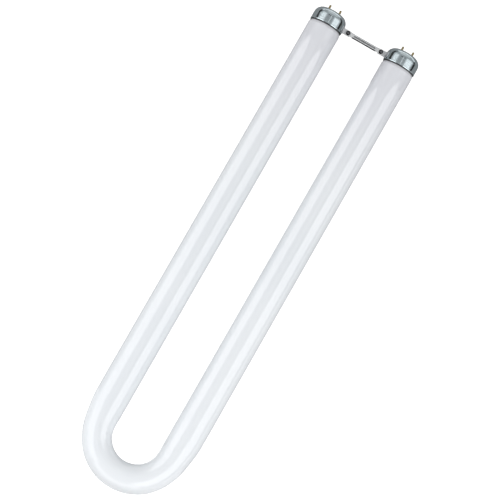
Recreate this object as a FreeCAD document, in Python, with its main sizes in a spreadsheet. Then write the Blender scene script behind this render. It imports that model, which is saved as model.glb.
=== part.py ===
import FreeCAD, Part
import math
import os
import Sketcher

# U-shaped fluorescent lamp lying flat. Millimetres: legs along Y with the caps at +Y,
# the width along X, the floor at Z = 0. The origin is the middle of its outline on the floor.

SIZES = [
    # Glass tube
    ("tube_diameter", 37.65, "outside of the glass on the legs"),
    ("glass_wall", 0.8, "thickness of the glass"),
    ("leg_spacing", 91.3, "between the axes of the two legs"),
    ("overall_length", 571.5, "base face to the outside of the bend"),
    ("bend_draw_in", 5.15, "how much the tube narrows across the bend, in the plane of the U"),
    ("bend_lead", 26.8, "length of leg over which the section starts to change"),
    ("bend_settle", 27.5, "degrees into the bend where the section has settled"),
    # Glass ends
    ("neck_step", 0.95, "how far the glass steps in, a side, to enter the cap"),
    ("neck_shoulder", 3.3, "length of the step"),
    ("neck_show", 1.1, "length of the narrow end that shows below the cap"),
    ("glass_end_gap", 5.5, "base face to the end of the glass"),
    ("glass_end_round", 1.2, "rounding of the glass end"),
    ("flare_inset", 2.7, "outside of the glass end to the mouth of the flare, a side"),
    ("stem_bore", 10.4, "bore of the stem tube"),
    ("stem_wall", 1.1, "thickness of the stem tube and flare"),
    ("stem_depth", 19.5, "glass end to the press of the stem"),
    ("press_length", 8.0, "length of the press that seals the wires"),
    ("press_round", 2.0, "rounding of the inner end of the press"),
    ("exhaust_diameter", 4.4, "outside of the exhaust tube"),
    ("exhaust_wall", 0.7, "thickness of the exhaust tube"),
    ("exhaust_setback", 2.0, "glass end to the sealed tip of the exhaust tube"),
    # Caps
    ("cap_overhang", 0.1, "how far the cap wall lies outside the tube, a side"),
    ("cap_height", 17.4, "rim to base face"),
    ("shell_wall", 0.45, "thickness of the cap shell"),
    ("bead_height", 1.3, "length of the bead round the rim"),
    ("bead_rise", 0.2, "how far the bead stands out"),
    ("shoulder_turn", 81.0, "degrees that the shoulder turns in before it meets the end lip"),
    ("lip_land", 0.05, "flat of the end lip beyond two thicknesses of shell"),
    ("cement_setback", 0.1, "glass step to the start of the cement"),
    ("cement_length", 5.0, "length of the cement ring"),
    # Insulator discs
    ("disc_thickness", 2.0, "thickness of the insulator disc"),
    ("disc_chamfer", 0.5, "edge of the disc that the lip is closed over"),
    ("seat_width", 1.75, "width of the ledge under the disc"),
    ("seat_margin", 0.65, "pin flange to the edge of the ledge"),
    # Contact pins
    ("pin_spacing", 12.7, "between the two pins of a cap"),
    ("pin_diameter", 2.35, "outside of a pin"),
    ("pin_shank", 2.0, "the pin where it passes through the disc"),
    ("pin_length", 6.0, "base face to the tip of a pin"),
    ("pin_tip_round", 0.9, "rounding of the tip"),
    ("pin_collar_rim", 0.7, "how far the collars stand out from the pin"),
    ("pin_collar_height", 0.45, "height of a collar"),
    ("pin_bore", 1.5, "bore of the hollow pin"),
    ("pin_grip", 2.0, "length at the tip that is closed on the wire"),
    ("pin_end_wall", 1.5, "thickness of the closed tip"),
    # Lead wires
    ("wire_diameter", 0.6, "lead wire"),
    ("wire_seal", 4.0, "length of wire held in the press"),
    ("wire_sweep", 5.0, "length over which the wire bends out to its pin"),
    ("wire_pin_gap", 0.5, "straight wire before it enters the pin"),
    # Stay between the caps
    ("stay_height", 5.65, "rim to the middle of the stay"),
    ("bracket_width", 6.0, "width of the bracket strip"),
    ("bracket_strip", 0.6, "thickness of the bracket strip"),
    ("bracket_seam", 0.1, "gap left between the two layers of the bracket"),
    ("bracket_foot", 26.0, "degrees that each foot runs round the cap"),
    ("bracket_bend", 0.8, "inside radius where a foot turns out"),
    ("bracket_end", 2.8, "rivet to the end of the bracket"),
    ("rivet_reach", 6.2, "cap wall to the rivet"),
    ("bar_width", 5.1, "width of the bar"),
    ("bar_strip", 0.7, "thickness of the bar strip"),
    ("bar_flat", 5.8, "rivet to the start of the turned-down flanges"),
    ("flange_depth", 2.6, "depth of the flanges"),
    ("flange_bend", 0.4, "inside radius of the flange bends"),
    ("groove_radius", 0.9, "radius of the groove pressed along the bar"),
    ("groove_margin", 0.5, "end of the flanges to the end of the groove"),
    # Rivets
    ("rivet_diameter", 2.6, "shank of a rivet"),
    ("rivet_head", 5.0, "diameter of the set head"),
    ("rivet_rise", 1.5, "height of the set head"),
    ("rivet_edge", 0.3, "edge of the set head"),
    ("rivet_flat", 2.0, "diameter of the flat on the set head"),
    ("rivet_tail", 4.2, "diameter of the closed head"),
    ("rivet_tail_rise", 0.9, "height of the closed head"),
]

# Loft stations: steps along the lead, into the bend, and round the settled part of it
LEAD_STEPS = 3
SETTLE_STEPS = 3
ROUND_STEPS = 8

doc = FreeCAD.newDocument("u_lamp")
sheet = doc.addObject("Spreadsheet::Sheet", "Sizes")
for row, (alias, number, note) in enumerate(SIZES, start=1):
    sheet.set(f"A{row}", note)
    sheet.set(f"B{row}", str(number))
    sheet.setAlias(f"B{row}", alias)
doc.recompute()


class Size:
    """A size from the sheet, or one worked out from others: its number and its formula."""

    def __init__(self, number, formula):
        self.number = number
        self.formula = formula

    def __add__(self, other):
        other = as_size(other)
        return Size(self.number + other.number, f"({self.formula} + {other.formula})")

    def __sub__(self, other):
        other = as_size(other)
        return Size(self.number - other.number, f"({self.formula} - {other.formula})")

    def __mul__(self, other):
        other = as_size(other)
        return Size(self.number * other.number, f"({self.formula} * {other.formula})")

    def __truediv__(self, other):
        other = as_size(other)
        return Size(self.number / other.number, f"({self.formula} / {other.formula})")

    def __radd__(self, other):
        return as_size(other) + self

    def __rsub__(self, other):
        return as_size(other) - self

    def __rmul__(self, other):
        return as_size(other) * self

    def __neg__(self):
        return as_size(0) - self


def as_size(value):
    if isinstance(value, Size):
        return value
    return Size(float(value), f"({value})")


def size(alias):
    return Size(float(sheet.get(alias)), f"{sheet.Name}.{alias}")


def root(value):
    return Size(math.sqrt(value.number), f"sqrt({value.formula})")


def sine(degrees):
    return Size(math.sin(math.radians(degrees.number)), f"sin({degrees.formula} * 1 deg)")


def cosine(degrees):
    return Size(math.cos(math.radians(degrees.number)), f"cos({degrees.formula} * 1 deg)")


def bind(item, path, value):
    item.setExpression(path, as_size(value).formula)


def line(x, y):
    """A straight run that ends at x, y."""
    return as_size(x), as_size(y), None, 0


def arc(x, y, radius, turn):
    """An arc that ends at x, y; turn is 1 anticlockwise, -1 clockwise."""
    return as_size(x), as_size(y), as_size(radius), turn


def ogee(start, end, turn):
    """Two equal arcs from start to end, both along Y where they meet the straight runs."""
    (x0, y0), (x1, y1) = start, end
    rise = x1 - x0
    run = y1 - y0
    radius = (run * run + rise * rise) / (4 * root(rise * rise))
    return [arc((x0 + x1) / 2, (y0 + y1) / 2, radius, turn), arc(x1, y1, radius, -turn)]


def arc_geometry(start, end, radius, turn):
    """The arc between two points, with the numbers of its first and last points."""
    chord = end - start
    half = chord.Length / 2
    side = FreeCAD.Vector(-chord.y, chord.x, 0).normalize()
    middle = start + chord * 0.5 + side * (turn * math.sqrt(max(radius * radius - half * half, 0)))
    first, last = (start, end) if turn > 0 else (end, start)
    angles = [math.atan2(point.y - middle.y, point.x - middle.x) for point in (first, last)]
    circle = Part.Circle(middle, FreeCAD.Vector(0, 0, 1), radius)
    return Part.ArcOfCircle(circle, *angles), (1, 2) if turn > 0 else (2, 1)


def draw(sketch, runs, closed=True):
    """Draw a chain of runs. An open chain starts at the end point of its first run."""
    points = [FreeCAD.Vector(x.number, y.number, 0) for x, y, radius, turn in runs]
    ends = []
    for place, (x, y, radius, turn) in enumerate(runs):
        if place == 0 and not closed:
            continue
        start, end = points[place - 1], points[place]
        shape, order = Part.LineSegment(start, end), (1, 2)
        if radius is not None:
            shape, order = arc_geometry(start, end, radius.number, turn)
        ends.append((sketch.addGeometry(shape, False), order, runs[place]))
    for (shape, order, run), (follower, next_order, _) in zip(ends, ends[1:] + ends[:1]):
        if closed or follower != ends[0][0]:
            sketch.addConstraint(
                Sketcher.Constraint("Coincident", shape, order[1], follower, next_order[0]))
    if not closed:
        fix_point(sketch, ends[0][0], ends[0][1][0], runs[0])
    for shape, order, run in ends:
        fix_point(sketch, shape, order[1], run)
        if run[2] is not None:
            place = sketch.addConstraint(Sketcher.Constraint("Radius", shape, run[2].number))
            bind(sketch, f"Constraints[{place}]", run[2])


def fix_point(sketch, shape, point, run):
    for kind, value in (("DistanceX", run[0]), ("DistanceY", run[1])):
        place = sketch.addConstraint(Sketcher.Constraint(kind, -1, 1, shape, point, value.number))
        bind(sketch, f"Constraints[{place}]", value)


def draw_circle(sketch, x, y, diameter):
    x, y, diameter = as_size(x), as_size(y), as_size(diameter)
    middle = FreeCAD.Vector(x.number, y.number, 0)
    circle = Part.Circle(middle, FreeCAD.Vector(0, 0, 1), diameter.number / 2)
    shape = sketch.addGeometry(circle, False)
    fix_point(sketch, shape, 3, (x, y))
    place = sketch.addConstraint(Sketcher.Constraint("Diameter", shape, diameter.number))
    bind(sketch, f"Constraints[{place}]", diameter)


def new_body(label, x=0, y=0, z=0, turn_over=False):
    body = doc.addObject("PartDesign::Body", label)
    body.Label = label
    if turn_over:
        body.Placement = FreeCAD.Placement(
            FreeCAD.Vector(), FreeCAD.Rotation(FreeCAD.Vector(0, 1, 0), 180))
    for axis, value in (("x", x), ("y", y), ("z", z)):
        bind(body, f"Placement.Base.{axis}", value)
    return body


def new_sketch(body, name, plane, offset=0):
    """A sketch on one of the body's own planes, moved along that plane's normal."""
    sketch = body.newObject("Sketcher::SketchObject", name)
    support = [item for item in body.Origin.OriginFeatures if item.Role == plane][0]
    sketch.AttachmentSupport = [(support, "")]
    sketch.MapMode = "FlatFace"
    bind(sketch, "AttachmentOffset.Base.z", offset)
    return sketch


def revolve(body, name, plane, runs, axis="V_Axis", angle=360, offset=0, kind="Revolution"):
    sketch = new_sketch(body, f"{name}_profile", plane, offset)
    draw(sketch, runs)
    feature = body.newObject(f"PartDesign::{kind}", name)
    feature.Profile = sketch
    feature.ReferenceAxis = (sketch, [axis])
    feature.Angle = angle
    doc.recompute()
    return feature


def pad(body, name, sketch, length, symmetric=False):
    feature = body.newObject("PartDesign::Pad", name)
    feature.Profile = sketch
    feature.SideType = "Symmetric" if symmetric else "One side"
    bind(feature, "Length", length)
    doc.recompute()
    return feature


def drill(body, name, plane, holes, diameter, length, offset=0):
    """Round holes of one diameter, cut equally to both sides of the sketch plane."""
    sketch = new_sketch(body, f"{name}_plan", plane, offset)
    for x, y in holes:
        draw_circle(sketch, x, y, diameter)
    feature = body.newObject("PartDesign::Pocket", name)
    feature.Profile = sketch
    feature.SideType = "Symmetric"
    bind(feature, "Length", length)
    doc.recompute()
    return feature


# Sizes that follow from the sheet
tube_radius = size("tube_diameter") / 2
leg_x = size("leg_spacing") / 2
inner_bend_radius = leg_x - tube_radius
outer_bend_radius = inner_bend_radius + size("tube_diameter") - size("bend_draw_in")
bend_outside_y = -(size("overall_length") + size("pin_length")) / 2
bend_y = bend_outside_y + outer_bend_radius
rim_y = bend_outside_y + size("overall_length") - size("cap_height")

# Heights above the rim of a cap, and radii from the axis of a leg
glass_end_y = size("cap_height") - size("glass_end_gap")
neck_foot_y = -size("neck_show")
neck_start_y = neck_foot_y - size("neck_shoulder")
neck_radius = tube_radius - size("neck_step")
press_y = glass_end_y - size("stem_depth")
stem_radius = size("stem_bore") / 2
exhaust_radius = size("exhaust_diameter") / 2
cap_radius = tube_radius + size("cap_overhang")
cap_bore_radius = cap_radius - size("shell_wall")
axis_z = cap_radius + size("bead_rise")
collar_radius = size("pin_diameter") / 2 + size("pin_collar_rim")
ledge_radius = size("pin_spacing") / 2 + collar_radius + size("seat_margin")
disc_radius = ledge_radius + size("seat_width")
disc_seat_y = size("cap_height") - size("disc_thickness")
lip_radius = disc_radius + 2 * size("shell_wall") + size("lip_land")
pin_tip_y = size("cap_height") + size("pin_length")
wire_top_y = pin_tip_y - size("pin_end_wall")
wire_seal_x = (stem_radius + exhaust_radius) / 2
rivet_x = leg_x - cap_radius - size("rivet_reach")
bracket_face_z = size("bracket_strip") + size("bracket_seam") / 2
bar_face_z = bracket_face_z + size("bar_strip")

SIDES = (("left", -1), ("right", 1))


def station(name, x, y, turn, width, height):
    """One oval section of the tube, upright, at x, y from the bend centre."""
    oval = doc.addObject("Part::Ellipse", name)
    bind(oval, "MajorRadius", height / 2)
    bind(oval, "MinorRadius", width / 2)
    x, y, turn = as_size(x), as_size(y), as_size(turn)
    oval.setExpression("Placement", f"placement(vector({x.formula}; {y.formula}; 0); "
                                    f"rotation(-90 - {turn.formula}; -90; 0))")
    return oval


def bend_stations(name, inset):
    """Sections along the bend: round on the legs, drawn to an oval as high as the cap rims."""
    lead, settle = size("bend_lead"), size("bend_settle")
    settle_run = settle * leg_x * (math.pi / 180)
    rest = (180 - settle * 2) / ROUND_STEPS
    # Each stop: leg left before the bend, degrees into the bend, share of the change done
    stops = [(lead * ((LEAD_STEPS + 1) / LEAD_STEPS), as_size(0), as_size(0))]
    for step in range(LEAD_STEPS + 1):
        done = lead * (step / LEAD_STEPS)
        stops.append((lead - done, as_size(0), done / (lead + settle_run)))
    for step in range(1, SETTLE_STEPS + 1):
        part_way = step / SETTLE_STEPS
        done = lead + settle_run * part_way
        stops.append((as_size(0), settle * part_way, done / (lead + settle_run)))
    for step in range(1, ROUND_STEPS // 2 + 1):
        stops.append((as_size(0), settle + rest * step, as_size(1)))
    right, left = [], []
    for place, (straight, turn, share) in enumerate(stops):
        blend = share * share * (3 - share * 2)
        width = size("tube_diameter") - size("bend_draw_in") * blend
        height = size("tube_diameter") + (axis_z - tube_radius) * 2 * blend
        reach = inner_bend_radius + width / 2
        x, y = reach * cosine(turn), straight - reach * sine(turn)
        oval = (width - inset * 2, height - inset * 2)
        right.append(station(f"{name}_right_{place}", x, y, turn, *oval))
        if place < len(stops) - 1:
            left.append(station(f"{name}_left_{place}", -x, y, 180 - turn, *oval))
    return right + left[::-1]


def tube_run(name, inset):
    """The legs and bend as one rod, inset from the outside of the glass."""
    bend = doc.addObject("Part::Loft", f"{name}_bend")
    bend.Sections = bend_stations(f"{name}_section", inset)
    bend.Solid = True
    pieces = [bend]
    leg_start = size("bend_lead") * ((LEAD_STEPS + 1) / LEAD_STEPS)
    for side, sign in SIDES:
        leg = doc.addObject("Part::Cylinder", f"{name}_leg_{side}")
        leg.Placement = FreeCAD.Placement(
            FreeCAD.Vector(), FreeCAD.Rotation(FreeCAD.Vector(1, 0, 0), -90))
        bind(leg, "Radius", tube_radius - inset)
        bind(leg, "Height", rim_y + neck_start_y - bend_y - leg_start)
        bind(leg, "Placement.Base.x", leg_x * sign)
        bind(leg, "Placement.Base.y", leg_start)
        pieces.append(leg)
    rod = doc.addObject("Part::MultiFuse", name)
    rod.Shapes = pieces
    return rod


def glass_end(side, sign):
    """A sealed end: necked glass, flare, stem, press and exhaust tube in one section."""
    inner_neck = neck_radius - size("glass_wall")
    inner_tube = tube_radius - size("glass_wall")
    flare_radius = neck_radius - size("flare_inset")
    flare_curve = flare_radius - stem_radius
    flare_foot_y = glass_end_y - flare_curve
    stem_outside = stem_radius + size("stem_wall")
    flare_back_y = glass_end_y - size("stem_wall")
    exhaust_bore = exhaust_radius - size("exhaust_wall")
    exhaust_tip_y = glass_end_y - size("exhaust_setback")
    exhaust_dome_y = exhaust_tip_y - exhaust_radius
    press_end_y = press_y - size("press_length")
    end_round, press_round = size("glass_end_round"), size("press_round")
    inner_round = end_round - size("glass_wall")
    runs = [line(tube_radius, neck_start_y)]
    runs += ogee((tube_radius, neck_start_y), (neck_radius, neck_foot_y), 1)
    runs += [
        line(neck_radius, glass_end_y - end_round),
        arc(neck_radius - end_round, glass_end_y, end_round, 1),
        line(flare_radius, glass_end_y),
        arc(stem_radius, flare_foot_y, flare_curve, 1),
        line(stem_radius, press_y),
        line(exhaust_radius, press_y),
        line(exhaust_radius, exhaust_dome_y),
        arc(0, exhaust_tip_y, exhaust_radius, 1),
        line(0, exhaust_dome_y + exhaust_bore),
        arc(exhaust_bore, exhaust_dome_y, exhaust_bore, -1),
        line(exhaust_bore, press_end_y),
        line(stem_outside - press_round, press_end_y),
        arc(stem_outside, press_end_y + press_round, press_round, 1),
        line(stem_outside, flare_foot_y),
        arc(flare_radius, flare_back_y, flare_curve - size("stem_wall"), -1),
        line(inner_neck - inner_round, flare_back_y),
        arc(inner_neck, flare_back_y - inner_round, inner_round, -1),
        line(inner_neck, neck_foot_y),
    ]
    runs += ogee((inner_neck, neck_foot_y), (inner_tube, neck_start_y), 1)
    body = new_body(f"glass_end_{side}", leg_x * sign, rim_y - bend_y)
    revolve(body, "sealed_end", "XY_Plane", runs)
    drill(body, "wire_seals", "XZ_Plane", [(wire_seal_x, 0), (-wire_seal_x, 0)],
          size("wire_diameter"), size("wire_seal") * 2, offset=-press_y)
    return body


def glass_tube():
    walls = doc.addObject("Part::Cut", "glass_walls")
    walls.Base = tube_run("tube_outside", as_size(0))
    walls.Tool = tube_run("tube_inside", size("glass_wall"))
    glass = doc.addObject("Part::MultiFuse", "glass_tube")
    glass.Shapes = [walls] + [glass_end(side, sign) for side, sign in SIDES]
    glass.Refine = True
    bind(glass, "Placement.Base.y", bend_y)
    bind(glass, "Placement.Base.z", axis_z)
    return glass


def cap_body(label, sign, x=0, turn_over=False):
    """A body on the axis of a leg, with its zero height at the rim of the cap."""
    return new_body(label, leg_x * sign + x, rim_y, axis_z, turn_over)


def cap_shell(side, sign):
    """Drawn shell: beaded rim, round shoulder, ledge for the disc, lip closed over its edge."""
    wall, height, chamfer = size("shell_wall"), size("cap_height"), size("disc_chamfer")
    half_bead, rise = size("bead_height") / 2, size("bead_rise")
    bead_radius = (half_bead * half_bead + rise * rise) / (2 * rise)
    shoulder = (cap_radius - lip_radius) / (1 - cosine(size("shoulder_turn")))
    shoulder_rise = shoulder * sine(size("shoulder_turn"))
    shoulder_y = height - shoulder_rise
    inner_shoulder, inner_rise = shoulder - wall, shoulder_rise - wall
    inner_lip = cap_radius - shoulder + root(inner_shoulder * inner_shoulder - inner_rise * inner_rise)
    body = cap_body(f"cap_shell_{side}", sign)
    revolve(body, "drawn_shell", "XY_Plane", [
        line(cap_radius, 0),
        arc(cap_radius, size("bead_height"), bead_radius, 1),
        line(cap_radius, shoulder_y),
        arc(lip_radius, height, shoulder, 1),
        line(disc_radius - chamfer, height),
        line(disc_radius, height - chamfer),
        line(disc_radius, disc_seat_y),
        line(ledge_radius, disc_seat_y),
        line(ledge_radius, disc_seat_y - wall),
        line(disc_radius + wall, disc_seat_y - wall),
        line(disc_radius + wall, height - wall),
        line(inner_lip, height - wall),
        arc(cap_bore_radius, shoulder_y, inner_shoulder, -1),
        line(cap_bore_radius, size("bead_height")),
        arc(cap_bore_radius, 0, bead_radius, -1),
    ])
    return body


def insulator_disc(side, sign):
    height, chamfer = size("cap_height"), size("disc_chamfer")
    half_spacing = size("pin_spacing") / 2
    body = cap_body(f"insulator_disc_{side}", sign)
    revolve(body, "disc", "XY_Plane", [
        line(0, disc_seat_y),
        line(disc_radius, disc_seat_y),
        line(disc_radius, height - chamfer),
        line(disc_radius - chamfer, height),
        line(0, height),
    ])
    drill(body, "pin_holes", "XZ_Plane", [(half_spacing, 0), (-half_spacing, 0)],
          size("pin_shank"), size("disc_thickness") * 4, offset=-height)
    return body


def basing_cement(side, sign):
    start_y = neck_foot_y + size("cement_setback")
    end_y = start_y + size("cement_length")
    body = cap_body(f"basing_cement_{side}", sign)
    revolve(body, "ring", "XY_Plane", [
        line(neck_radius, start_y),
        line(cap_bore_radius, start_y),
        line(cap_bore_radius, end_y),
        line(neck_radius, end_y),
    ])
    return body


def contact_pin(label, sign, out):
    """Hollow pin: riveted to the disc between two collars, its tip closed on the wire."""
    radius, bore, wire = size("pin_diameter") / 2, size("pin_bore") / 2, size("wire_diameter") / 2
    collar, tip_round = size("pin_collar_height"), size("pin_tip_round")
    shank = size("pin_shank") / 2
    face_y = size("cap_height")
    grip_y = wire_top_y - size("pin_grip")
    body = cap_body(label, sign, size("pin_spacing") / 2 * out)
    revolve(body, "pin", "XY_Plane", [
        line(0, pin_tip_y),
        line(0, wire_top_y),
        line(wire, wire_top_y),
        line(wire, grip_y),
        line(bore, grip_y - (bore - wire)),
        line(bore, disc_seat_y - collar),
        line(collar_radius, disc_seat_y - collar),
        line(collar_radius, disc_seat_y),
        line(shank, disc_seat_y),
        line(shank, face_y),
        line(collar_radius, face_y),
        line(collar_radius, face_y + collar),
        line(radius, face_y + collar),
        line(radius, pin_tip_y - tip_round),
        arc(radius - tip_round, pin_tip_y, tip_round, 1),
    ])
    return body


def lead_wire(label, sign, out):
    """Wire from the press of the stem, bent out to run up inside its pin."""
    start_y = press_y - size("wire_seal")
    sweep_end_y = disc_seat_y - size("pin_collar_height") - size("wire_pin_gap")
    sweep_start = (wire_seal_x * out, sweep_end_y - size("wire_sweep"))
    sweep_end = (size("pin_spacing") / 2 * out, sweep_end_y)
    body = cap_body(label, sign)
    path = new_sketch(body, "wire_path", "XY_Plane")
    draw(path, [line(wire_seal_x * out, start_y), line(*sweep_start)]
         + ogee(sweep_start, sweep_end, -out) + [line(sweep_end[0], wire_top_y)], closed=False)
    section = new_sketch(body, "wire_section", "XZ_Plane", -start_y)
    draw_circle(section, wire_seal_x * out, 0, size("wire_diameter"))
    wire = body.newObject("PartDesign::AdditivePipe", "wire")
    wire.Profile = section
    wire.Spine = (path, [f"Edge{number}" for number in range(1, 5)])
    doc.recompute()
    return body


def stay_bracket(side, sign):
    """Strip folded double, with its two ends spread round the cap as feet."""
    strip, half_seam, bend = size("bracket_strip"), size("bracket_seam") / 2, size("bracket_bend")
    foot = size("bracket_foot")
    outside = cap_radius + strip
    bend_reach = outside + bend
    bend_z = bracket_face_z + bend
    bend_x = root(bend_reach * bend_reach - bend_z * bend_z)
    outer_x, outer_z = bend_x * outside / bend_reach, bend_z * outside / bend_reach
    inner_x, inner_z = bend_x * cap_radius / bend_reach, bend_z * cap_radius / bend_reach
    fold_x = cap_radius + size("rivet_reach") + size("bracket_end") - bracket_face_z
    body = cap_body(f"stay_bracket_{side}", sign, turn_over=sign > 0)
    sketch = new_sketch(body, "folded_strip", "XZ_Plane", -size("stay_height"))
    draw(sketch, [
        arc(cap_radius * cosine(foot), cap_radius * sine(foot), cap_radius, 1),
        line(outside * cosine(foot), outside * sine(foot)),
        arc(outer_x, outer_z, outside, -1),
        arc(bend_x, bracket_face_z, bend, 1),
        line(fold_x, bracket_face_z),
        arc(fold_x + bracket_face_z, 0, bracket_face_z, -1),
        arc(fold_x, -bracket_face_z, bracket_face_z, -1),
        line(bend_x, -bracket_face_z),
        arc(outer_x, -outer_z, bend, 1),
        arc(outside * cosine(foot), -(outside * sine(foot)), outside, -1),
        line(cap_radius * cosine(foot), -(cap_radius * sine(foot))),
        arc(inner_x, -inner_z, cap_radius, 1),
        arc(bend_x, -half_seam, bend + strip, -1),
        line(fold_x, -half_seam),
        arc(fold_x + half_seam, 0, half_seam, 1),
        arc(fold_x, half_seam, half_seam, 1),
        line(bend_x, half_seam),
        arc(inner_x, inner_z, bend + strip, -1),
    ])
    pad(body, "strip", sketch, size("bracket_width"), symmetric=True)
    drill(body, "rivet_hole", "XY_Plane", [(cap_radius + size("rivet_reach"), size("stay_height"))],
          size("rivet_diameter"), bracket_face_z * 4)
    return body


def capsule(half_length, radius):
    """Half outline of a rod with round ends, lying along the first axis of its sketch."""
    return [
        line(-(half_length + radius), 0),
        arc(-half_length, -radius, radius, 1),
        line(half_length, -radius),
        arc(half_length + radius, 0, radius, 1),
    ]


def stay_bar():
    """Pressed strip: flat riveted ends, flanges turned down and a groove along the middle."""
    strip, bend, half_width = size("bar_strip"), size("flange_bend"), size("bar_width") / 2
    flange_x = rivet_x - size("bar_flat")
    flange_foot_z = bar_face_z - size("flange_depth")
    outer_bend, under_z, inner_width = bend + strip, bar_face_z - strip, half_width - strip
    groove_outside = size("groove_radius") + strip
    groove_x = flange_x - size("groove_margin") - groove_outside
    body = new_body("stay_bar", 0, rim_y + size("stay_height"), axis_z)
    channel = new_sketch(body, "channel", "YZ_Plane")
    draw(channel, [
        line(-half_width, flange_foot_z),
        line(-half_width, bar_face_z - outer_bend),
        arc(outer_bend - half_width, bar_face_z, outer_bend, -1),
        line(half_width - outer_bend, bar_face_z),
        arc(half_width, bar_face_z - outer_bend, outer_bend, -1),
        line(half_width, flange_foot_z),
        line(inner_width, flange_foot_z),
        line(inner_width, under_z - bend),
        arc(inner_width - bend, under_z, bend, 1),
        line(bend - inner_width, under_z),
        arc(-inner_width, under_z - bend, bend, 1),
        line(-inner_width, flange_foot_z),
    ])
    pad(body, "flanges", channel, flange_x * 2, symmetric=True)
    for side, sign in SIDES:
        plan = new_sketch(body, f"end_plan_{side}", "XY_Plane", under_z)
        draw(plan, [
            line(flange_x * sign, -half_width),
            line(rivet_x * sign, -half_width),
            arc((rivet_x + half_width) * sign, 0, half_width, sign),
            arc(rivet_x * sign, half_width, half_width, sign),
            line(flange_x * sign, half_width),
        ])
        pad(body, f"flat_end_{side}", plan, strip)
    revolve(body, "groove_wall", "XY_Plane", capsule(groove_x, groove_outside),
            axis="H_Axis", angle=180, offset=bar_face_z)
    revolve(body, "groove", "XY_Plane", capsule(groove_x, size("groove_radius")),
            axis="H_Axis", offset=bar_face_z, kind="Groove")
    drill(body, "rivet_holes", "XY_Plane", [(rivet_x, 0), (-rivet_x, 0)],
          size("rivet_diameter"), bar_face_z * 4)
    return body


def stay_rivet(side, sign):
    shank, head, flat = size("rivet_diameter") / 2, size("rivet_head") / 2, size("rivet_flat") / 2
    edge, rise = size("rivet_edge"), size("rivet_rise")
    tail, tail_rise = size("rivet_tail") / 2, size("rivet_tail_rise")
    tail_radius = (tail * tail + tail_rise * tail_rise) / (2 * tail_rise)
    dome_z = (flat * flat + rise * rise - head * head - edge * edge) / (2 * (rise - edge))
    dome_radius = root(flat * flat + (rise - dome_z) * (rise - dome_z))
    body = new_body(f"stay_rivet_{side}", rivet_x * sign, rim_y + size("stay_height"), axis_z)
    revolve(body, "rivet", "XZ_Plane", [
        line(0, -(bracket_face_z + tail_rise)),
        arc(tail, -bracket_face_z, tail_radius, 1),
        line(shank, -bracket_face_z),
        line(shank, bar_face_z),
        line(head, bar_face_z),
        line(head, bar_face_z + edge),
        arc(flat, bar_face_z + rise, dome_radius, 1),
        line(0, bar_face_z + rise),
    ])
    return body


nodes = [glass_tube()]
for side, sign in SIDES:
    nodes.append(cap_shell(side, sign))
    nodes.append(insulator_disc(side, sign))
    nodes.append(basing_cement(side, sign))
    for place, out in (("outer", sign), ("inner", -sign)):
        nodes.append(contact_pin(f"contact_pin_{side}_{place}", sign, out))
        nodes.append(lead_wire(f"lead_wire_{side}_{place}", sign, out))
    nodes.append(stay_bracket(side, sign))
    nodes.append(stay_rivet(side, sign))
nodes.append(stay_bar())
doc.recompute()

for item in doc.Objects:
    if {"Invalid", "Error"} & set(item.State):
        raise RuntimeError(f"{item.Label} did not build: {item.State}")
for node in nodes:
    if node.Shape.isNull() or not node.Shape.isValid() or len(node.Shape.Solids) != 1:
        raise RuntimeError(f"{node.Label} is not one sound solid")

os.makedirs("parts", exist_ok=True)
for node in nodes:
    node.Shape.exportStep(f"parts/{node.Label}.step")
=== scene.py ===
import math

import bpy
from mathutils import Matrix, Vector

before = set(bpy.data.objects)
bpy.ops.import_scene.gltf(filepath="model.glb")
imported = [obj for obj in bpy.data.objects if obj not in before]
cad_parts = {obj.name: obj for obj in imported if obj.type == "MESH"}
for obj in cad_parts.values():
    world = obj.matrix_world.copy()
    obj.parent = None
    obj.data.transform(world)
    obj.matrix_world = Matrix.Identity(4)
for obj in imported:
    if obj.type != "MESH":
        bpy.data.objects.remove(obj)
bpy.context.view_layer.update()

# Lengths are in metres. +Y runs from the bend to the caps and +Z up.
AXIS_HEIGHT = 0.019125    # axes of the legs above the floor

# Camera: how far it leans towards the bend, its turn, and where the lamp sits in the picture
CAMERA_LEAN = math.radians(9.0)
CAMERA_ROLL = math.radians(29.81)
CAMERA_DISTANCE = 4.39
CAMERA_LENS = 292.7
SENSOR_WIDTH = 36.0
AIM_RIGHT = 0.00828
AIM_UP = 0.00620

# Softboxes: place they face, way out from it, degrees from straight up of their two edges,
# their two ends, and level
SOFTBOX_REACH = 0.9
SOFTBOXES = [
    ("softbox_left", (0.0, 0.0), (-1, 0), 34.0, 88.0, -1.30, 0.425, 1.45),
    ("softbox_right", (0.0, 0.0), (1, 0), 24.0, 74.0, -1.30, 0.430, 1.52),
    ("softbox_end", (0.0, -0.25), (0, -1), 25.0, 78.0, -0.60, 0.60, 0.25),
]
WORLD_LEVEL = 0.40
WORLD_TINT = (0.97, 0.985, 1.0, 1.0)

# Floor: a middle grey to the light that bounces off it, and white to the camera by its glow
FLOOR_HALF = 8.0
FLOOR_TONES = (0.49, 0.51)
FLOOR_ROUGHNESS = (0.85, 0.95)
FLOOR_GRAIN_SCALE = 40.0
FLOOR_GLOW = 0.90

# Cards that show only in reflections, as the dark and the light of the room did.
# Dark cards, upright by the caps and the stay, and one flat above: two corners of each
DARK_TONE = 0.03
DARK_CARDS = [
    ("card_left", (-0.125, 0.255, 0.022), (-0.125, 0.330, 0.047)),
    ("card_middle", (0.0, 0.255, 0.0265), (0.0, 0.330, 0.040)),
    ("card_right", (0.125, 0.255, 0.022), (0.125, 0.330, 0.047)),
    ("card_stay", (-0.024, 0.2645, 0.001), (0.024, 0.2645, 0.031)),
    ("card_above", (-0.45, 0.53, 1.0), (0.25, 0.66, 1.0)),
]
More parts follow.
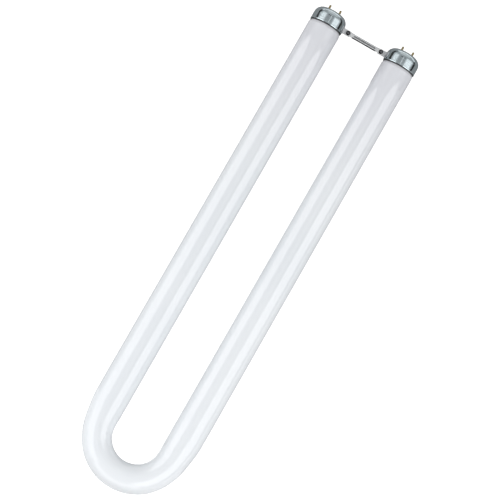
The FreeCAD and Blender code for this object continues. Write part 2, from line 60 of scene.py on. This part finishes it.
# Grey cards just off the floor, those by the bend a little lower: two corners, height and tone
LOW = 0.0006
LOWER = 0.0004
GREY_CARDS = [
    ("card_under_caps", (-0.35, 0.24), (0.35, 0.45), LOW, 0.36),
    ("card_beside_left", (-0.45, -0.20), (-0.05, 0.24), LOW, 0.50),
    ("card_beside_right", (0.05, -0.24), (0.22, 0.24), LOW, 0.50),
    ("card_past_bend", (-0.40, -0.42), (0.40, -0.27), LOWER, 0.92),
    ("card_bend_left", (-0.40, -0.27), (-0.05, -0.20), LOWER, 0.85),
    ("card_bend_right", (0.05, -0.27), (0.40, -0.24), LOWER, 0.85),
    ("card_in_gap", (-0.004, -0.22), (0.014, 0.24), LOW, 0.42),
    ("card_in_gap_left", (-0.027, -0.22), (-0.004, 0.24), LOW, 0.65),
    ("card_in_gap_end", (-0.020, -0.25), (0.010, -0.22), LOW, 0.72),
]
# Light card flat above the stay: two corners, height and level
STAY_CARD = ("light_card_stay", (-0.026, 0.10), (0.026, 0.70), 0.92, 1.0)
# Light cards beside the caps and beyond the two ends of the lamp, placed as the softboxes are
LIGHT_CARDS = [
    ("light_card_left", (0.0, 0.0), (-1, 0), 35.0, 66.0, 0.43, 0.66, 0.80),
    ("light_card_right", (0.0, 0.0), (1, 0), 23.0, 66.0, 0.43, 0.66, 0.92),
    ("light_card_bend", (0.0, -0.25), (0, -1), 58.0, 89.0, -0.60, 0.60, 1.85),
    ("light_card_beyond", (0.0, 0.27), (0, 1), 50.0, 88.0, -0.45, 0.45, 0.60),
]

# Where finishes change: along Y the glass turns warmer towards the caps and darker there by painted
# shade, and a painted shadow darkens it by the cement at the caps' rims, and up Z painted shade makes
# the stay's groove and flanges and the rivets' sides darker than their tops
GLASS_WARM_SHADE_PLACES = (0.10, 0.262)
GLASS_WARM_SHADE_TINT = (0.985, 0.960, 0.975)
GLASS_RIM_SHADOW_PLACES = (0.2632, 0.2643)
STAY_GROOVE_SHADE_PLACES = (0.0195, 0.0204)
RIVET_SIDE_SHADE_PLACES = (0.0217, 0.0219)

# Noise keeps mostly between these two values, and grain is finer than tone
NOISE_LOW = 0.3
NOISE_HIGH = 0.7
TONE_DETAIL = 3.0
GRAIN_DETAIL = 4.0

# Sockets of the Mix node when it mixes colours
MIX_FACTOR = 0
MIX_FIRST = 6
MIX_SECOND = 7
MIX_RESULT = 2

WHITE = (1.0, 1.0, 1.0, 1.0)
EVEN = (1.0, 1.0, 1.0)


def new_material(name):
    """A material with its node tree and its shader, and nothing more in the tree but the output."""
    material = bpy.data.materials.new(name)
    material.use_nodes = True
    tree = material.node_tree
    shader = tree.nodes["Principled BSDF"]
    return material, tree, shader


def object_coordinates(tree):
    """The place on the object itself, so that a finish stays with it."""
    return tree.nodes.new("ShaderNodeTexCoord").outputs["Object"]


def noise(tree, coordinates, scale, detail=TONE_DETAIL, stretch=EVEN):
    """Noise over object coordinates, stretched along the axes."""
    mapping = tree.nodes.new("ShaderNodeMapping")
    mapping.inputs["Scale"].default_value = stretch
    tree.links.new(coordinates, mapping.inputs["Vector"])
    texture = tree.nodes.new("ShaderNodeTexNoise")
    texture.inputs["Scale"].default_value = scale
    texture.inputs["Detail"].default_value = detail
    tree.links.new(mapping.outputs["Vector"], texture.inputs["Vector"])
    return texture.outputs["Fac"]


def ramp(tree, factor, stops):
    """Colours along a factor."""
    node = tree.nodes.new("ShaderNodeValToRGB")
    elements = node.color_ramp.elements
    while len(elements) < len(stops):
        elements.new(0.5)
    for element, (place, colour) in zip(elements, stops):
        element.position = place
        element.color = (*colour, 1.0)
    tree.links.new(factor, node.inputs["Fac"])
    return node.outputs["Color"]


def spread(tree, factor, low, high):
    """A number that runs from low to high over the range that noise mostly keeps to."""
    node = tree.nodes.new("ShaderNodeMapRange")
    node.inputs["From Min"].default_value = NOISE_LOW
    node.inputs["From Max"].default_value = NOISE_HIGH
    node.inputs["To Min"].default_value = low
    node.inputs["To Max"].default_value = high
    tree.links.new(factor, node.inputs["Value"])
    return node.outputs["Result"]


def bump(tree, height, strength, distance):
    """A fine unevenness of the surface."""
    node = tree.nodes.new("ShaderNodeBump")
    node.inputs["Strength"].default_value = strength
    node.inputs["Distance"].default_value = distance
    tree.links.new(height, node.inputs["Height"])
    return node.outputs["Normal"]


def finish_material(name, tones, roughness, tone_scale, grain_scale, grain, metallic=0.0,
                    grain_stretch=EVEN, specular=0.5):
    """A finish: tones over broad noise, roughness and a fine grain over finer noise."""
    material, tree, shader = new_material(name)
    place = object_coordinates(tree)
    broad = noise(tree, place, tone_scale)
    fine = noise(tree, place, grain_scale, GRAIN_DETAIL, grain_stretch)
    tree.links.new(ramp(tree, broad, tones), shader.inputs["Base Color"])
    tree.links.new(spread(tree, fine, *roughness), shader.inputs["Roughness"])
    tree.links.new(bump(tree, fine, *grain), shader.inputs["Normal"])
    shader.inputs["Metallic"].default_value = metallic
    shader.inputs["Specular IOR Level"].default_value = specular
    return material


def grey(level):
    """A colour with all three parts alike."""
    return (level, level, level)


def shade_along(material, axis, places, stops):
    """Multiply a finish's colour by tones that run between two places along an axis."""
    tree = material.node_tree
    split = tree.nodes.new("ShaderNodeSeparateXYZ")
    tree.links.new(object_coordinates(tree), split.inputs["Vector"])
    along = tree.nodes.new("ShaderNodeMapRange")
    along.inputs["From Min"].default_value = places[0]
    along.inputs["From Max"].default_value = places[1]
    tree.links.new(split.outputs[axis], along.inputs["Value"])
    colour = tree.nodes["Principled BSDF"].inputs["Base Color"]
    product = tree.nodes.new("ShaderNodeMix")
    product.data_type = "RGBA"
    product.blend_type = "MULTIPLY"
    product.inputs[MIX_FACTOR].default_value = 1.0
    tree.links.new(colour.links[0].from_socket, product.inputs[MIX_FIRST])
    tree.links.new(ramp(tree, along.outputs["Result"], stops), product.inputs[MIX_SECOND])
    tree.links.new(product.outputs[MIX_RESULT], colour)


coated_glass = finish_material(
    "coated_glass_and_painted_shade", [(0.35, (0.845, 0.875, 0.905)), (0.65, (0.870, 0.895, 0.920))],
    roughness=(0.030, 0.050), tone_scale=9.0, grain_scale=60.0, grain=(0.03, 0.0004),
    specular=1.0)
# Painted shade with a tint: the glass turns warmer and darker towards the caps
shade_along(coated_glass, "Y", GLASS_WARM_SHADE_PLACES, [(0.0, grey(1.0)), (1.0, GLASS_WARM_SHADE_TINT)])
# Painted shadow: the glass turns dark where it meets the caps' rims
shade_along(coated_glass, "Y", GLASS_RIM_SHADOW_PLACES, [(0.0, grey(1.0)), (0.9, grey(0.25))])
cap_metal = finish_material(
    "cap_metal_finish", [(0.35, (0.66, 0.755, 0.79)), (0.65, (0.74, 0.825, 0.86))],
    roughness=(0.10, 0.20), tone_scale=60.0, grain_scale=900.0, grain=(0.08, 0.0001),
    metallic=1.0, grain_stretch=(0.15, 1.0, 0.15))
insulator = finish_material(
    "insulator_finish", [(0.3, (0.16, 0.075, 0.035)), (0.7, (0.25, 0.125, 0.06))],
    roughness=(0.42, 0.62), tone_scale=350.0, grain_scale=1400.0, grain=(0.15, 0.0001))
cement = finish_material(
    "cement_finish", [(0.3, (0.020, 0.022, 0.024)), (0.7, (0.045, 0.045, 0.045))],
    roughness=(0.75, 0.95), tone_scale=300.0, grain_scale=1500.0, grain=(0.4, 0.0002))
pin_metal = finish_material(
    "pin_metal_finish", [(0.3, (0.34, 0.27, 0.13)), (0.7, (0.46, 0.38, 0.20))],
    roughness=(0.22, 0.36), tone_scale=300.0, grain_scale=2500.0, grain=(0.1, 0.0001),
    metallic=1.0, grain_stretch=(1.0, 4.0, 1.0))
wire_metal = finish_material(
    "wire_metal_finish", [(0.3, (0.50, 0.49, 0.46)), (0.7, (0.62, 0.61, 0.58))],
    roughness=(0.28, 0.42), tone_scale=400.0, grain_scale=3000.0, grain=(0.1, 0.0001),
    metallic=1.0)
bracket_metal = finish_material(
    "bracket_metal_finish", [(0.3, (0.82, 0.83, 0.85)), (0.7, (0.90, 0.91, 0.92))],
    roughness=(0.34, 0.46), tone_scale=250.0, grain_scale=1800.0, grain=(0.1, 0.0001),
    metallic=1.0, grain_stretch=(0.2, 1.0, 1.0))
stay_metal = finish_material(
    "stay_metal_and_painted_shade", [(0.3, (0.84, 0.86, 0.87)), (0.7, (0.92, 0.93, 0.94))],
    roughness=(0.14, 0.20), tone_scale=220.0, grain_scale=1600.0, grain=(0.1, 0.0001),
    metallic=1.0, grain_stretch=(0.15, 1.0, 1.0))
# Painted shade: the stay's groove and flanges are darker than its top
shade_along(stay_metal, "Z", STAY_GROOVE_SHADE_PLACES, [(0.0, grey(0.55)), (0.5, grey(0.80)), (1.0, grey(1.0))])
rivet_metal = finish_material(
    "rivet_metal_and_painted_shade", [(0.3, (0.17, 0.17, 0.18)), (0.7, (0.24, 0.24, 0.25))],
    roughness=(0.25, 0.40), tone_scale=400.0, grain_scale=2200.0, grain=(0.15, 0.0001),
    metallic=1.0)
# Painted shade: the rivets' domed sides are nearly black below their lighter tops
shade_along(rivet_metal, "Z", RIVET_SIDE_SHADE_PLACES, [(0.0, grey(0.06)), (1.0, grey(1.0))])

# The finish of each node, by how its name starts
FINISHES = [
    ("glass_tube", coated_glass),
    ("cap_shell", cap_metal),
    ("insulator_disc", insulator),
    ("basing_cement", cement),
    ("contact_pin", pin_metal),
    ("lead_wire", wire_metal),
    ("stay_bracket", bracket_metal),
    ("stay_rivet", rivet_metal),
    ("stay_bar", stay_metal),
]
for node_name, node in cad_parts.items():
    finish = [material for start, material in FINISHES if node_name.startswith(start)][0]
    for slot in node.material_slots:
        slot.material = finish


def outward_and_along(outward, angle):
    """The way out at an angle from straight up, and the level way along at right angles to it."""
    out_x, out_y = outward
    back = Vector((out_x * math.sin(angle), out_y * math.sin(angle), math.cos(angle)))
    along = Vector((abs(out_y), abs(out_x), 0))
    return back, along


def angled_corners(faced, outward, low_angle, high_angle, start, end):
    """Four corners of a card between two angles from straight up, as far out as the softboxes."""
    corners = []
    for angle, ends in ((low_angle, (start, end)), (high_angle, (end, start))):
        back, along = outward_and_along(outward, math.radians(angle))
        edge = Vector((*faced, AXIS_HEIGHT)) + back * SOFTBOX_REACH
        corners += [edge + along * place for place in ends]
    return corners


def flat_corners(first, second, height):
    """Four corners of a level card, from two opposite ones."""
    (x0, y0), (x1, y1) = first, second
    return [(x0, y0, height), (x1, y0, height), (x1, y1, height), (x0, y1, height)]


def dark_corners(first, second):
    """Four corners of a card, level or upright, from two opposite ones."""
    (x0, y0, z0), (x1, y1, z1) = first, second
    if z0 == z1:
        return flat_corners((x0, y0), (x1, y1), z0)
    return [(x0, y0, z0), (x1, y1, z0), (x1, y1, z1), (x0, y0, z1)]


def add_mesh(name, corners, material):
    """One flat face with a material, linked to the scene."""
    mesh = bpy.data.meshes.new(name)
    mesh.from_pydata(corners, [], [(0, 1, 2, 3)])
    mesh.materials.append(material)
    face = bpy.data.objects.new(name, mesh)
    bpy.context.scene.collection.objects.link(face)
    return face


def add_floor():
    """A plain pale floor, white to the camera and to what mirrors it, that takes the shadow."""
    material, tree, shader = new_material("floor_paper")
    grain = noise(tree, object_coordinates(tree), FLOOR_GRAIN_SCALE)
    dark, light = FLOOR_TONES
    tones = [(NOISE_LOW, grey(dark)), (NOISE_HIGH, grey(light))]
    tree.links.new(ramp(tree, grain, tones), shader.inputs["Base Color"])
    tree.links.new(spread(tree, grain, *FLOOR_ROUGHNESS), shader.inputs["Roughness"])
    shader.inputs["Specular IOR Level"].default_value = 0.0
    path = tree.nodes.new("ShaderNodeLightPath")
    seen = path.outputs["Is Camera Ray"]
    for ray in ("Is Glossy Ray", "Is Transmission Ray"):
        either = tree.nodes.new("ShaderNodeMath")
        either.operation = "MAXIMUM"
        tree.links.new(seen, either.inputs[0])
        tree.links.new(path.outputs[ray], either.inputs[1])
        seen = either.outputs["Value"]
    glow = tree.nodes.new("ShaderNodeMath")
    glow.operation = "MULTIPLY"
    glow.inputs[1].default_value = FLOOR_GLOW
    tree.links.new(seen, glow.inputs[0])
    shader.inputs["Emission Color"].default_value = WHITE
    tree.links.new(glow.outputs["Value"], shader.inputs["Emission Strength"])
    corners = flat_corners((-FLOOR_HALF, -FLOOR_HALF), (FLOOR_HALF, FLOOR_HALF), 0.0)
    floor = add_mesh("floor", corners, material)


def add_softbox(name, faced, outward, low_angle, high_angle, start, end, level):
    """A long softbox facing a place on the floor, between two angles from straight up."""
    middle = math.radians((low_angle + high_angle) / 2)
    half_angle = math.radians((high_angle - low_angle) / 2)
    width = 2 * SOFTBOX_REACH * math.tan(half_angle)
    length = end - start
    light = bpy.data.lights.new(name, "AREA")
    light.shape = "RECTANGLE"
    light.size = width
    light.size_y = length
    light.energy = level * math.pi * width * length
    lamp = bpy.data.objects.new(name, light)
    back, along = outward_and_along(outward, middle)
    across = along.cross(back)
    centre = Vector((*faced, AXIS_HEIGHT)) + along * ((start + end) / 2) + back * SOFTBOX_REACH
    lamp.matrix_world = Matrix((across, along, back)).transposed().to_4x4()
    lamp.matrix_world.translation = centre
    bpy.context.scene.collection.objects.link(lamp)


def card_material(name, tone, glow=0.0):
    """A plain dull card, grey or lit."""
    material, _, shader = new_material(name)
    shader.inputs["Base Color"].default_value = (*grey(tone), 1.0)
    shader.inputs["Specular IOR Level"].default_value = 0.0
    shader.inputs["Emission Color"].default_value = WHITE
    shader.inputs["Emission Strength"].default_value = glow
    return material


def add_card(name, corners, material):
    """A card that shows in reflections alone and casts no shadow."""
    card = add_mesh(name, corners, material)
    card.visible_camera = False
    card.visible_diffuse = False
    card.visible_shadow = False
    card.visible_transmission = False


def add_cards():
    """The dark cards, the grey ones and the lit ones."""
    dark = card_material("card_dark", DARK_TONE)
    for name, first, second in DARK_CARDS:
        add_card(name, dark_corners(first, second), dark)
    for name, first, second, height, tone in GREY_CARDS:
        add_card(name, flat_corners(first, second, height), card_material(name, tone))
    name, first, second, height, level = STAY_CARD
    add_card(name, flat_corners(first, second, height), card_material(name, 0.0, level))
    for name, *place, level in LIGHT_CARDS:
        add_card(name, angled_corners(*place), card_material(name, 0.0, level))


def add_world():
    """An even, slightly cool light from all round."""
    world = bpy.data.worlds.new("studio")
    bpy.context.scene.world = world
    world.use_nodes = True
    background = world.node_tree.nodes["Background"]
    background.inputs["Color"].default_value = WORLD_TINT
    background.inputs["Strength"].default_value = WORLD_LEVEL


def add_camera():
    """Looks down on the lamp from the bend side, turned so that the caps are at the upper right."""
    back = Vector((0, -math.sin(CAMERA_LEAN), math.cos(CAMERA_LEAN)))
    along = Vector((0, math.cos(CAMERA_LEAN), math.sin(CAMERA_LEAN)))
    across = Vector((1, 0, 0))
    right = across * math.cos(CAMERA_ROLL) + along * math.sin(CAMERA_ROLL)
    up = along * math.cos(CAMERA_ROLL) - across * math.sin(CAMERA_ROLL)
    data = bpy.data.cameras.new("camera")
    data.lens = CAMERA_LENS
    data.sensor_width = SENSOR_WIDTH
    camera = bpy.data.objects.new("camera", data)
    aim = Vector((0, 0, AXIS_HEIGHT)) + right * AIM_RIGHT + up * AIM_UP
    camera.matrix_world = Matrix((right, up, back)).transposed().to_4x4()
    camera.matrix_world.translation = aim + back * CAMERA_DISTANCE
    bpy.context.scene.collection.objects.link(camera)
    bpy.context.scene.camera = camera


add_floor()
for softbox in SOFTBOXES:
    add_softbox(*softbox)
add_cards()
add_world()
add_camera()
bpy.context.scene.view_settings.view_transform = "Standard"
